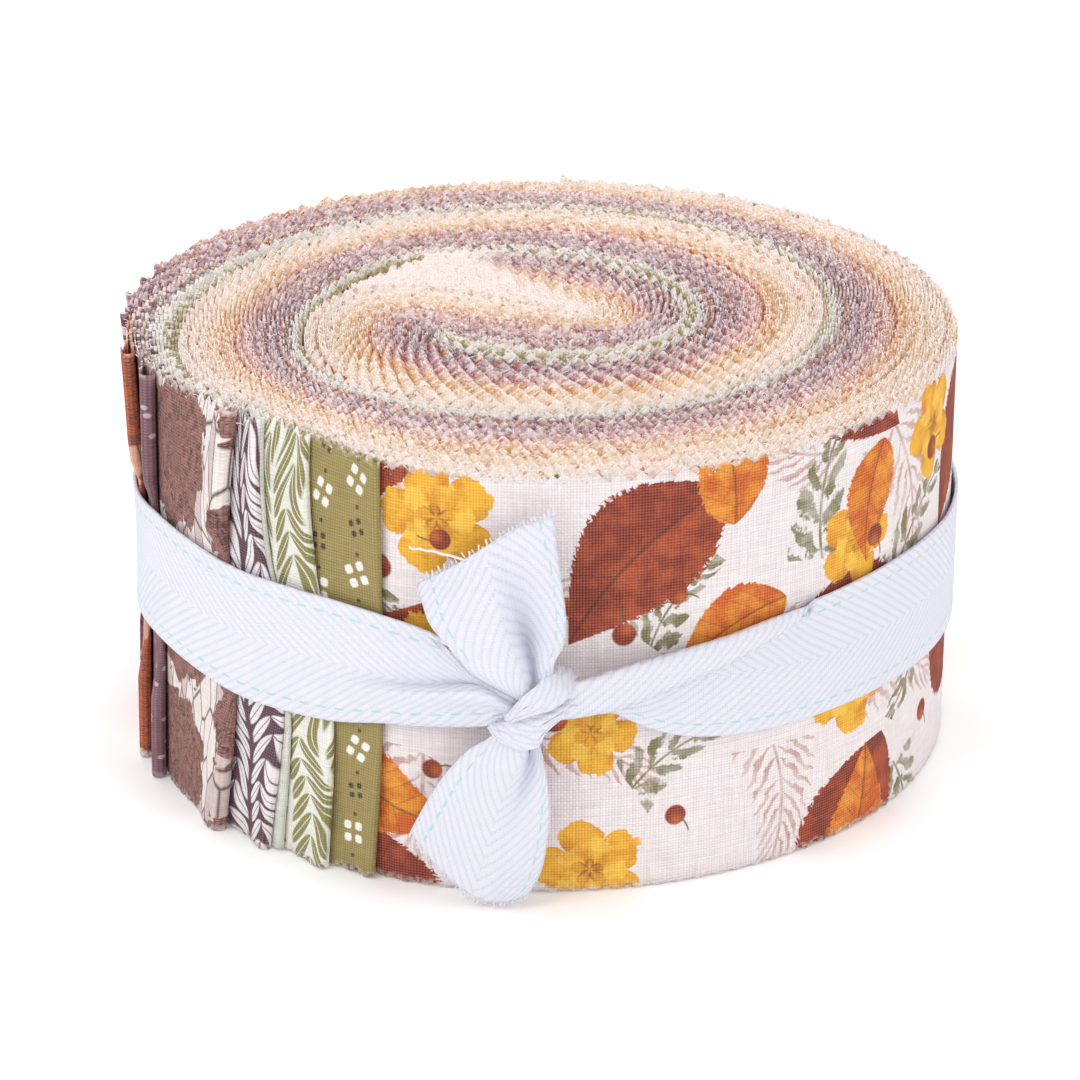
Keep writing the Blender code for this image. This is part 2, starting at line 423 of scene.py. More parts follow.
def clothMesh(name, parts):
    # Joins bands into one mesh object, with its cloth coordinates as attributes
    verts, faces, cloth, edge, white = zip(*parts)
    starts = np.cumsum([0] + [len(part) for part in verts])
    faces = np.concatenate([part + start for part, start in zip(faces, starts)])
    verts = np.concatenate(verts) * mm
    mesh = bpy.data.meshes.new(name)
    mesh.vertices.add(len(verts))
    mesh.vertices.foreach_set("co", verts.astype(np.float32).ravel())
    mesh.loops.add(faces.size)
    mesh.loops.foreach_set("vertex_index", faces.astype(np.int32).ravel())
    mesh.polygons.add(len(faces))
    mesh.polygons.foreach_set("loop_start", np.arange(0, faces.size, 4, dtype=np.int32))
    mesh.update(calc_edges=True)
    place = mesh.attributes.new("cloth", "FLOAT_VECTOR", "POINT")
    flat = np.concatenate([np.concatenate(cloth), np.concatenate(edge)[:, None]], 1)
    place.data.foreach_set("vector", flat.astype(np.float32).ravel())
    bareness = mesh.attributes.new("bare", "FLOAT", "POINT")
    bareness.data.foreach_set("value", np.concatenate(white).astype(np.float32))
    made = bpy.data.objects.new(name, mesh)
    bpy.context.scene.collection.objects.link(made)
    return made


topEdges = []  # the points along each layer's top edge, where the fuzz stands

selvage = {
    "nearX": 7.0,
    "nearY": 5.0,
    "farX": -9.0,
    "farY": 25.5,
    "fade": 3.0,
    "end": 9.0,
    "fromAzimuth": 110,
}


def bareness(points, azimuth, part, along):
    # Unprinted white selvage: all that lies past a line across the upper half of the core, and the last
    # stretch before each layer's cut end
    dx, dy = selvage["farX"] - selvage["nearX"], selvage["farY"] - selvage["nearY"]
    side = (points[:, 0] - selvage["nearX"]) * dy - (points[:, 1] - selvage["nearY"]) * dx
    past = ramp(-side / math.hypot(dx, dy), -selvage["fade"], selvage["fade"])
    inUpperHalf = (part == 0) & (azimuth > selvage["fromAzimuth"])
    end = 1 - ramp(along - along[0], selvage["end"], selvage["end"] + selvage["fade"])
    return np.where(inUpperHalf, np.maximum(past, end), 0.0)


def shownFrom(strip):
    # The azimuth down to which a strip's outer layer is built in full, just under the next strip's fold
    if strip == stack["strips"] - 1:
        return stack["lastShown"]
    return min(folds[strip + 1][:3]) - stack["shownUnder"]


def foldAzimuth(strip, height):
    foot, middle, top = folds[strip][:3]
    return smooth([(0.0, foot), (stripWidth / 2, middle), (stripWidth, top)], height)


def topAndFoot(level, topShift, footShift):
    top = stripWidth + topShift - stack["toothHeight"] * level
    foot = footShift + stack["footNotch"] * level
    return top, foot


def stripParts(strip):
    # One doubled strip: its inner layer, its outer layer and the fold that joins them
    parts = []
    jitter = rng.normal(0, stack["phaseJitter"], 2)
    topShift = rng.normal(0, stack["topUneven"]) * 0.5 - stack["topUneven"]
    footShift = abs(rng.normal(0, stack["footJitter"]))
    for turn in (0, 1):
        layer = 2 * strip + turn
        along, points, azimuth, part, room = layerPath(layer)
        # the inner layer ends behind the fold, and the outer one where the shown part takes over
        outside = part == 2
        hiddenTo = shownFrom(strip) if turn else min(folds[strip][:3]) - stack["behindFold"]
        hiddenEnd = np.interp(hiddenTo, azimuth[outside], along[outside])
        start = along[0] + abs(rng.normal(0, stack["startJitter"]))
        columns = toothColumns(start, hiddenEnd, jitter[turn])
        x = np.interp(columns, along, points[:, 0])
        y = np.interp(columns, along, points[:, 1])
        level = toothLevel(columns, jitter[turn])
        wander = 0
        for rise, length, perStrip, perTurn in edgeWaves:
            wander = wander + rise * np.sin(columns / length + strip * perStrip + turn * perTurn)
        wander = wander + rng.normal(0, stack["frayed"], len(columns))
        top, foot = topAndFoot(level, topShift + wander, footShift)
        spot = np.stack([x, y], -1)
        partAt = np.rint(np.interp(columns, along, part)).astype(int)
        coreAt = np.interp(columns, along, azimuth)
        white = bareness(spot, coreAt, partAt, columns)
        if strip == stack["strips"] - 1:
            white = np.maximum(white, stack["lastBare"])
        thickness = stack["fill"] * np.interp(columns, along, room)
        thickness = np.clip(thickness, stack["clothThickness"], stack["frayThickness"])
        # where the wall is pressed in, the layer has rows between its foot and its top
        pressedFrom = np.searchsorted(np.where(partAt == 2, coreAt, 0.0), stack["pressedFrom"])
        for between, first, last in (([], 0, pressedFrom + 1), (pressedRows, pressedFrom, len(columns))):
            if min(last, len(columns)) - first < 2:
                continue
            span = slice(first, last)
            heights = [foot[span], *(np.full(len(columns[span]), height) for height in between), top[span]]
            heights = np.stack(heights, -1)
            rows = heights.shape[1]
            flat = np.repeat(spot[span, None], rows, 1)
            grid = leanInwards(np.concatenate([flat, heights[:, :, None]], -1))
            topEdges.append(grid[:, -1])
            places = np.repeat(columns[span, None], rows, 1) + layer * stack["printRun"]
            places = np.stack([places, heights], -1)
            edges = np.repeat(level[span, None], rows, 1)
            bare = np.repeat(white[span, None], rows, 1)
            parts.append(band(grid, places, edges, bare, thickness[span, None, None]))
    # the shown part goes on from the outer layer, the last one made
    run = (along[outside], azimuth[outside], jitter[1])
    parts.append(shownPart(strip, run, topShift + wander[-1], footShift))
    return parts


def printAtFold(strip):
    # Where on its print a strip is folded. The outermost print starts from the front.
    if strip == stack["strips"] - 1:
        return math.radians(stack["lastFold"] - 360) * leanFrom["rim"]
    return strip * stack["printStart"]


def shownPart(strip, run, topShift, footShift):
    # The outer layer from under the next strip to its fold, round the fold and a little way back
    inner, outer = 2 * strip, 2 * strip + 1
    lift, rounds = folds[strip][3:]
    along, azimuth, jitter = run
    shownAt = np.interp(shownFrom(strip), azimuth, along)
    columns = toothColumns(shownAt, along[-1], jitter, 2)
    turnAt = np.interp(columns, along, azimuth)
    fromFold = along[-1] - columns
    level = toothLevel(columns, jitter)
    rows = len(shownRows) + 2
    top, foot = topAndFoot(level, topShift, footShift)
    heights = np.empty((len(columns), rows))
    heights[:, 0] = foot
    heights[:, 1:-1] = np.array(shownRows)[None, :]
    heights[:, -1] = top
    # the fold wanders with height, and the stretch behind it follows
    shift = foldAzimuth(strip, heights) - folds[strip][1]
    follow = 1 - ramp(fromFold, 0.0, shown["follow"])
    at = turnAt[:, None] + shift * follow[:, None]
    pressed = ramp(heights, *shown["pressedLow"]) - ramp(heights, *shown["pressedHigh"])
    pressed = 1 - shown["pressed"] * pressed
    puff = lift * np.exp(-((fromFold[:, None] / rounds) ** 2)) * pressed
    radius = layerRadius(outer, at) + puff
    outerLine = np.concatenate([polar(at, radius), heights[:, :, None]], -1)
    # round the fold
    backRadius = layerRadius(inner, at[-1])
    half = (radius[-1] - backRadius) / 2
    middle = (radius[-1] + backRadius) / 2
    turns = np.radians(shown["turns"])
    foldLines = []
    for angle in turns:
        reach = at[-1] + np.degrees(half * math.sin(angle) / middle)
        lineRadius = middle + half * math.cos(angle)
        foldLines.append(np.concatenate([polar(reach, lineRadius), heights[-1][:, None]], -1))
    # a little way back along the inner layer
    back = slice(None, -1 - shown["backColumns"], -1)
    backHeights = heights[back][:, :, None]
    backLine = np.concatenate([polar(at[back], layerRadius(inner, at[back])), backHeights], -1)
    grid = np.concatenate([outerLine, np.array(foldLines), backLine])
    foldPlace = printAtFold(strip)
    uOuter = columns - columns[-1] + foldPlace
    uRound = foldPlace + np.arange(1, len(turns) + 1) * shown["turnStep"]
    uBack = foldPlace + shown["backStart"] + (columns[-1] - columns[back])
    u = np.concatenate([uOuter, uRound, uBack])
    places = np.stack([np.repeat(u[:, None], rows, 1), grid[:, :, 2]], -1)
    edges = np.zeros((len(u), rows))
    levels = np.concatenate([level, np.full(len(turns), level[-1]), level[back]])
    edges[:, 0] = levels
    edges[:, -1] = levels
    bare = np.zeros((len(u), rows))
    grid = leanInwards(grid)
    topEdges.append(grid[: len(columns), -1])
    return band(grid, places, edges, bare, stack["clothThickness"])


# Quilting cotton: plain-woven and printed, matt and dry to the eye, with a fine grid of thread crossings.
# A print is drawn in millimetres on the cloth: x runs along the strip and y up it.
cotton = {
    "thread": 0.42,  # real threads lie 0.28 mm apart, too fine to show, so they are drawn coarser
    # painted shade in the gaps between threads, and painted highlight on their crossings
    "threadShade": 0.2,
    "threadLight": 0.14,
    "slubShade": 0.16,
    "relief": 0.1 * mm,
    "roughness": 0.86,
    "specular": 0.25,
    "rawEdge": "#FFF1EC",
    "edgeDepth": 1.15,
    "fleck": 0.5,
    "dyed": 0.86,  # a frayed thread keeps some of the print's colour
}


def makeGroup(name, inputs, outputs, draw, *sizes):
    # A node group round a drawing function, which takes a way to add nodes to it and the group's inputs, and
    # gives back its outputs
    made = bpy.data.node_groups.new(name, "ShaderNodeTree")
    for label, kind in inputs.items():
        made.interface.new_socket(label, in_out="INPUT", socket_type="NodeSocket" + kind)
    for label, kind in outputs.items():
        made.interface.new_socket(label, in_out="OUTPUT", socket_type="NodeSocket" + kind)
    given = made.nodes.new("NodeGroupInput").outputs
    drawn = draw(functools.partial(node, made), *given[: len(inputs)], *sizes)
    result = made.nodes.new("NodeGroupOutput").inputs
    for number, value in enumerate(drawn):
        made.links.new(value, result[number])
    return made


def plainWeave(add, colour, place):
    # Threads over and under each other. Painted highlight on their crossings, partly the paler tops of the
    # fibres, and painted shade in the gaps between them.
    waves = add("VectorMath SCALE", place, in3=math.pi / cotton["thread"])
    waves = add("VectorMath SINE", waves)
    split = add("SeparateXYZ", waves).node.outputs
    over = add("Math MULTIPLY", split[0], split[1])
    crossing = add("Math POWER", add("Math ABSOLUTE", over), 0.6)
    height = add("Math MULTIPLY_ADD", over, 0.12, crossing)
    weft = add("VectorMath MULTIPLY", place, (0.2, 2.4, 0))
    weft = add("TexNoise", weft, in2=1.0, in3=0.0)
    warp = add("VectorMath MULTIPLY", place, (2.4, 0.2, 0))
    warp = add("TexNoise", warp, in2=1.0, in3=0.0)
    slubs = add("Math ADD", weft, warp)
    # how deep the painted shade in the gaps between threads goes
    slub, gap = cotton["slubShade"], cotton["threadShade"]
    slubs = add("Math MULTIPLY_ADD", slubs, slub, 1.02 - slub)
    shade = add("Math MULTIPLY", add("Math MULTIPLY_ADD", height, gap, 1.04 - gap), slubs)
    shaded = add("VectorMath SCALE", colour, in3=shade)
    # painted highlight on the crossings, partly the paler fibre tops there
    light = add("Math MULTIPLY", crossing, crossing)
    light = add("Math MULTIPLY", light, cotton["threadLight"])
    lit = add("Mix", light, shaded, linear("#F2E4DC"))
    return lit, height


def pinkedEdge(add, colour, place, bare):
    # The cut edge: frayed raw thread ends, most at the teeth's tips, with flecks of the print's own colour.
    # The tips are also whiter and the notches keep more print colour, as painted light on the tips and
    # painted shade in the notches.
    split = add("SeparateXYZ", place).node.outputs
    notch = add("Math MULTIPLY", split[2], stack["toothHeight"])
    fromFoot = add("Math SUBTRACT", split[1], notch)
    fromTop = add("Math SUBTRACT", stripWidth - 0.1, add("Math ADD", split[1], notch))
    inside = add("Math MINIMUM", fromFoot, fromTop)
    near = add("MapRange", inside, 0.0, cotton["edgeDepth"], 1.0, 0.0)
    cell = add("VectorMath SCALE", place, in3=1 / cotton["fleck"])
    cell = add("VectorMath FLOOR", cell)
    fleck = add("TexWhiteNoise", cell)
    # whiter at the teeth's tips than in the notches: fraying, and also painted light on the tips and painted
    # shade in the notches
    tip = add("Math MULTIPLY_ADD", split[2], -0.85, 0.68)
    frayAndToothShade = add("Math ADD", add("Math MULTIPLY_ADD", fleck, 0.8, -0.4), tip)
    frayAndToothShade = add("Math MULTIPLY", frayAndToothShade, near, use_clamp=True)
    frayAndToothShade = add("Math MINIMUM", frayAndToothShade, cotton["dyed"])
    raw = add("Math MAXIMUM", frayAndToothShade, bare)
    return [add("Mix", raw, colour, linear(cotton["rawEdge"]))]


def repeatCell(add, place, size, drop=0.5):
    # A half-drop repeat: where the point lies in its cell, in cells from its middle, and the cell's number
    scaled = add("VectorMath SCALE", place, in3=1 / size)
    split = add("SeparateXYZ", scaled).node.outputs
    column = add("Math FLOOR", split[0])
    dropped = add("Math MULTIPLY_ADD", column, drop, split[1])
    row = add("Math FLOOR", dropped)
    x = add("Math SUBTRACT", split[0], column)
    y = add("Math SUBTRACT", dropped, row)
    inside = add("VectorMath SUBTRACT", add("CombineXYZ", x, y), (0.5, 0.5, 0))
    return inside, add("CombineXYZ", column, row)


def roundSpot(add, place, centre, radius, sharp):
    off = add("Math SUBTRACT", radius, add("VectorMath DISTANCE", place, centre, out=1))
    return add("Math MULTIPLY", off, sharp, use_clamp=True)


def squareSpot(add, place, centre, reach):
    # A square with its corners a little rounded
    off = add("VectorMath ABSOLUTE", add("VectorMath SUBTRACT", place, centre))
    split = add("SeparateXYZ", off).node.outputs
    larger = add("Math MAXIMUM", split[0], split[1])
    both = add("Math ADD", split[0], split[1])
    off = add("Math SUBTRACT", reach * 1.25, add("Math MULTIPLY_ADD", both, 0.28, larger))
    return add("Math MULTIPLY", off, 24.0, use_clamp=True)


def pairedLeaves(add, side, along, slope, fullness):
    # Leaves in pairs up a stem. side is 0 at the stem and 1 at the leaves' tips, and along counts the pairs.
    # Gives how far inside a leaf the point is, and how far from the leaf's midrib, both in pairs.
    rise = add("Math MULTIPLY_ADD", side, -slope, along)
    off = add("Math ABSOLUTE", add("Math SUBTRACT", add("Math FRACT", rise), 0.5))
    full = add("Math SINE", add("Math MULTIPLY", side, math.pi))
    full = add("Math POWER", add("Math MAXIMUM", full, 0.0), 0.6)
    full = add("Math MULTIPLY", full, fullness)
    return add("Math SUBTRACT", full, off), off


def blossomPrint(add, place, ground, motif, accent, size):
    # Small four-petalled blossoms and clusters of four dots by turns, with single dots between them
    inside, cell = repeatCell(add, place, size)
    number = add("VectorMath DOT_PRODUCT", cell, (0.5, 0.5, 0), out=1)
    half = add("Math FRACT", number)
    isFlower = add("Math GREATER_THAN", half, 0.25)
    chance = add("TexWhiteNoise", cell)
    turn = add("Math MULTIPLY_ADD", chance, 0.9, -0.45)
    turned = add("VectorRotate", inside, in3=turn)
    folded = add("VectorMath ABSOLUTE", turned)
    petal = squareSpot(add, folded, (0.15, 0.15, 0), 0.12)
    petal = add("Math MULTIPLY", petal, isFlower)
    dot = squareSpot(add, folded, (0.11, 0.11, 0), 0.085)
    dot = add("Math SUBTRACT", dot, isFlower, use_clamp=True)
    single = roundSpot(add, inside, (0.02, 0.43, 0), 0.065, 26.0)
    dot = add("Math MAXIMUM", dot, single)
    colour = add("Mix", petal, ground, motif)
    return [add("Mix", dot, colour, accent)]


def vinePrint(add, place, ground, motif, accent, width, length):
    # Upright stems set closely with leaves to both sides
    bend = add("VectorMath SCALE", place, in3=0.08)
    sway = add("TexNoise", bend, in2=1.0, in3=0.0)
    split = add("SeparateXYZ", place).node.outputs
    u = add("Math MULTIPLY_ADD", sway, 7.0, split[0])
    side = add("Math DIVIDE", add("Math PINGPONG", u, width / 2), width / 2)
    along = add("Math MULTIPLY", sway, 2.0)
    along = add("Math MULTIPLY_ADD", split[1], 1 / length, along)
    body, off = pairedLeaves(add, side, along, 1.6, 0.455)
    leaf = add("Math MULTIPLY_ADD", body, 11.0, 0.1, use_clamp=True)
    rib = add("Math MULTIPLY_ADD", off, -16.0, 1.0, use_clamp=True)
    stem = add("Math MULTIPLY_ADD", side, -10.0, 1.9, use_clamp=True)
    line = add("Math MAXIMUM", rib, stem)
    colour = add("Mix", leaf, ground, motif)
    return [add("Mix", line, colour, accent)]


def headPrint(add, place, ground, motif, accent, size):
    # Round flower heads in short strokes that spread from the middle, among pale petals with fine outlines
    inside, cell = repeatCell(add, place, size, 0.45)
    blur = add("TexNoise", place, in2=0.45, in3=2.0)
    split = add("SeparateXYZ", inside).node.outputs
    angle = add("Math ARCTAN2", split[1], split[0])
    radius = add("VectorMath LENGTH", inside, out=1)
    swirl = add("Math MULTIPLY_ADD", blur, 0.7, angle)
    tip = add("Math SINE", add("Math MULTIPLY", swirl, 9.0))
    stroke = add("VectorMath MULTIPLY", add("CombineXYZ", swirl, radius), (13.0, 9.0, 0))
    strokes = add("TexNoise", stroke, in2=1.0, in3=1.0, in8=0.3)
    strokes = add("Math ABSOLUTE", add("Math SUBTRACT", strokes, 0.5))
    lines = add("Math MULTIPLY_ADD", strokes, -9.0, 1.05, use_clamp=True)
    rim = add("Math MULTIPLY_ADD", blur, 0.1, add("Math MULTIPLY_ADD", tip, 0.04, 0.41))
    head = add("Math MULTIPLY", add("Math SUBTRACT", rim, radius), 60.0, use_clamp=True)
    flower = add("Mix", lines, motif, accent)
    long = add("VectorMath MULTIPLY", place, (0.42, 0.13, 0))
    petal = add("TexVoronoi", long, feature="DISTANCE_TO_EDGE", in2=1.0)
    outline = add("Math MULTIPLY_ADD", petal, -14.0, 1.0, use_clamp=True)
    tint = add("SeparateXYZ", add("TexVoronoi", long, out=1, in2=1.0))
    tint = add("Math MULTIPLY", add("Math GREATER_THAN", tint, 0.5), 0.38)
    paper = add("Mix", outline, add("Mix", tint, ground, motif), accent)
    return [add("Mix", head, paper, flower)]


def checkPrint(add, place, ground, motif, accent, size):
    # Two sets of stripes that cross
    scaled = add("VectorMath SCALE", place, in3=1 / size)
    part = add("VectorMath FRACTION", scaled)
    split = add("SeparateXYZ", part).node.outputs
    up = add("Math LESS_THAN", split[0], 0.5)
    across = add("Math LESS_THAN", split[1], 0.5)
    both = add("Math MULTIPLY", add("Math ADD", up, across), 0.5)
    return [add("Mix", both, ground, motif)]


def spotPrint(add, place, ground, motif, accent, size):
    # A washed ground of two tones with scattered spots
    wash = add("MapRange", add("TexNoise", place, in2=0.3, in3=3.0), 0.42, 0.6)
    colour = add("Mix", wash, ground, motif)
    spots = add("TexVoronoi", place, in2=1 / size)
    spot = add("Math MULTIPLY_ADD", spots, -16.0, 2.6, use_clamp=True)
    return [add("Mix", spot, colour, accent)]


# The outermost strip's large print: leaves, flowers, berries and ferns scattered on cream. Each kind has its
# own lattice, and a motif is turned and left in or out at random in its cell.
scatters = {
    # period and shifts of the lattice in mm, seed, share of the cells that hold a motif
    "fern": (27.0, 4.0, 19.0, 5, 0.85),
    "sprig": (23.0, 15.0, 2.0, 11, 0.5),
    "rustLeaf": (35.0, 4.0, 2.0, 3, 0.95),
    "orangeLeaf": (25.0, 10.5, 12.0, 21, 0.5),
    "flower": (21.0, 3.0, 7.0, 8, 0.17),
    "berry": (8.5, 1.0, 2.5, 14, 0.16),
}


def scatter(add, place, kind):
    # The place inside its lattice cell, turned, and 1 where the cell holds a motif
    period, right, up, seed, share = scatters[kind]
    moved = add("VectorMath ADD", place, (right, up, 0))
    inside, cell = repeatCell(add, moved, period)
    cell = add("VectorMath ADD", cell, (seed, 0, 0))
    chance = add("TexWhiteNoise", cell, out=1)
    chances = add("SeparateXYZ", chance).node.outputs
    turn = add("Math MULTIPLY", chances[0], math.tau)
    inside = add("VectorRotate", inside, in3=turn)
    size = add("Math MULTIPLY_ADD", chances[2], 0.4, 1.0)
    inside = add("VectorMath SCALE", inside, in3=size)
    held = add("Math LESS_THAN", chances[1], share)
    split = add("SeparateXYZ", inside).node.outputs
    return inside, split[0], split[1], held


def leafMotif(add, place, wash, below, kind, width, point, teeth, light, dark):
    inside, x, y, held = scatter(add, place, kind)
    sharp = scatters[kind][0] / 0.22
    bend = add("Math MULTIPLY", y, y)
    x = add("Math MULTIPLY_ADD", bend, 0.35, x)
    off = add("Math ABSOLUTE", x)
    t = add("Math ADD", y, 0.5, use_clamp=True)
    full = add("Math MULTIPLY", add("Math POWER", t, point), math.pi)
    full = add("Math MULTIPLY", add("Math SINE", full), width)
    tooth = add("Math MULTIPLY_ADD", t, teeth, add("Math MULTIPLY_ADD", wash, 1.5, t))
    tooth = add("Math MULTIPLY", add("Math FRACT", tooth), full)
    full = add("Math MULTIPLY_ADD", tooth, -0.1, full)
    edge = add("Math SUBTRACT", full, off)
    mask = add("Math MULTIPLY", add("Math MULTIPLY", edge, sharp, use_clamp=True), held)
    rise = add("Math MULTIPLY_ADD", t, 8.0, add("Math MULTIPLY", off, -6.0))
    vein = add("Math PINGPONG", rise, 0.5)
    vein = add("Math MULTIPLY_ADD", vein, -12.0, 0.7, use_clamp=True)
    rib = add("Math MULTIPLY_ADD", off, -110.0, 1.5, use_clamp=True)
    vein = add("Math MULTIPLY", add("Math MAXIMUM", vein, rib), 0.55)
    across = add("Math GREATER_THAN", x, 0.0)
    tone = add("Math MULTIPLY_ADD", across, 0.3, wash, use_clamp=True)
    colour = add("Mix", tone, linear(light), linear(dark))
    colour = add("Mix", vein, colour, linear("#4A1E10"))
    return add("Mix", mask, below, colour)


petalRings = [
    # reach, turn, light, dark
    (0.46, 0.0, "#F4B52E", "#D98A12"),
    (0.3, 0.63, "#F8C544", "#DE9418"),
    (0.16, 0.2, "#E9A324", "#9C5A10"),
]


def flowerMotif(add, place, wash, below):
    # Outer petals, and two smaller rings of petals on them
    inside, x, y, held = scatter(add, place, "flower")
    angle = add("Math ARCTAN2", y, x)
    radius = add("VectorMath LENGTH", inside, out=1)
    colour = below
    for reach, turn, light, dark in petalRings:
        petal = add("Math COSINE", add("Math MULTIPLY_ADD", angle, 2.5, turn * 2.5))
        petal = add("Math ABSOLUTE", petal)
        notch = add("Math POWER", petal, 0.5)
        rim = add("Math MULTIPLY_ADD", notch, reach * 0.42, reach * 0.58)
        edge = add("Math MULTIPLY_ADD", wash, -0.06, add("Math SUBTRACT", rim, radius))
        mask = add("Math MULTIPLY", edge, 90.0, use_clamp=True)
        mask = add("Math MULTIPLY", mask, held)
        tone = add("Math MULTIPLY_ADD", petal, -0.9, wash)
        tone = add("Math ADD", tone, 0.45, use_clamp=True)
        petals = add("Mix", tone, linear(light), linear(dark))
        colour = add("Mix", mask, colour, petals)
    return colour


def fernMotif(add, place, wash, below, kind, pairs, slope, reach, fullness, tint, strength):
    inside, x, y, held = scatter(add, place, kind)
    bend = add("Math MULTIPLY", y, y)
    x = add("Math MULTIPLY_ADD", bend, -0.45, x)
    off = add("Math ABSOLUTE", x)
    t = add("Math ADD", y, 0.5)
    narrow = add("Math MULTIPLY_ADD", t, -0.75 * reach, reach)
    side = add("Math DIVIDE", off, narrow)
    inReach = add("Math LESS_THAN", side, 1.0)
    along = add("Math MULTIPLY_ADD", t, pairs, add("Math MULTIPLY", wash, 0.5))
    body, rib = pairedLeaves(add, side, along, slope, fullness)
    leaf = add("Math MULTIPLY", add("Math MULTIPLY", body, 9.0, use_clamp=True), inReach)
    stem = add("Math MULTIPLY_ADD", off, -100.0, 1.6, use_clamp=True)
    inCell = add("Math COMPARE", y, 0.0, 0.47)
    mask = add("Math MULTIPLY", add("Math MAXIMUM", leaf, stem), inCell)
    mask = add("Math MULTIPLY", mask, held)
    fade = add("Math MULTIPLY_ADD", wash, 0.5, strength - 0.25)
    mask = add("Math MULTIPLY", mask, fade, use_clamp=True)
    return add("Mix", mask, below, linear(tint))


def berryMotif(add, place, below):
    inside, x, y, held = scatter(add, place, "berry")
    stalk = add("Math MULTIPLY_ADD", add("Math MULTIPLY", y, y), -1.1, x)
    stalk = add("Math ABSOLUTE", stalk)
    stalk = add("Math MULTIPLY_ADD", stalk, -40.0, 1.3, use_clamp=True)
    above = add("Math COMPARE", y, 0.16, 0.2)
    stalk = add("Math MULTIPLY", add("Math MULTIPLY", stalk, above), held)
    colour = add("Mix", stalk, below, linear("#6E6434"))
    fruit = roundSpot(add, inside, (0, -0.12, 0), 0.25, 24.0)
    fruit = add("Math MULTIPLY", fruit, held)
    glow = roundSpot(add, inside, (0.09, -0.03, 0), 0.2, 5.0)
    skin = add("Mix", glow, linear("#8E3414"), linear("#C9652E"))
    return add("Mix", fruit, colour, skin)


def autumnPrint(add, place, ground, motif, accent):
    wash = add("TexNoise", place, in2=0.28, in3=4.0, in4=0.62)
    wash = add("MapRange", wash, 0.36, 0.66)
    colour = ground
    colour = fernMotif(add, place, wash, colour, "fern", 9.0, 2.6, 0.36, 0.3, "#C79C92", 0.7)
    colour = fernMotif(add, place, wash, colour, "sprig", 5.0, 1.1, 0.3, 0.4, "#7F7A50", 0.85)
    colour = leafMotif(add, place, wash, colour, "rustLeaf", 0.31, 0.8, 22.0, "#B04A22", "#842A12")
    colour = flowerMotif(add, place, wash, colour)
    colour = leafMotif(add, place, wash, colour, "orangeLeaf", 0.3, 0.7, 9.0, "#EE9A2A", "#CF5F0C")
    colour = berryMotif(add, place, colour)
    return [colour]


printKinds = {
    # drawing function, and the sizes of its repeat in mm
    "blossom": (blossomPrint, 6.6),
    "vine": (vinePrint, 8.4, 3.6),
    "head": (headPrint, 24.0),
    "check": (checkPrint, 2.4),
    "spot": (spotPrint, 2.6),
    "autumn": (autumnPrint,),
}
printInputs = {"place": "Vector", "ground": "Color", "motif": "Color", "accent": "Color"}
edgeInputs = {"colour": "Color", "place": "Vector", "bare": "Float"}
weaveInputs = {"colour": "Color", "place": "Vector"}
edgeGroup = makeGroup("pinkedEdge", edgeInputs, {"colour": "Color"}, pinkedEdge)
weaveGroup = makeGroup("plainWeave", weaveInputs, {"colour": "Color", "height": "Float"}, plainWeave)
printGroups = {}
for kind, (draw, *sizes) in printKinds.items():
    printGroups[kind] = makeGroup(kind + "Print", printInputs, {"colour": "Color"}, draw, *sizes)


def printedCotton(name, kind, ground, motif, accent):
    finish = {"Roughness": cotton["roughness"], "Specular IOR Level": cotton["specular"]}
    made, add, shader = startMaterial(name, finish)
    place = add("Attribute", out=1, attribute_name="cloth")
    bare = add("Attribute", out=2, attribute_name="bare")
    colours = [linear(colour) for colour in (ground, motif, accent)]
    printed = add("Group", place, *colours, node_tree=printGroups[kind])
    edged = add("Group", printed, place, bare, node_tree=edgeGroup)
    woven = add("Group", edged, place, node_tree=weaveGroup).node.outputs
    made.node_tree.links.new(woven[0], shader["Base Color"])
    relief = add("Bump", 0.9, cotton["relief"], 1.0, woven[1])
    made.node_tree.links.new(relief, shader["Normal"])
    return made


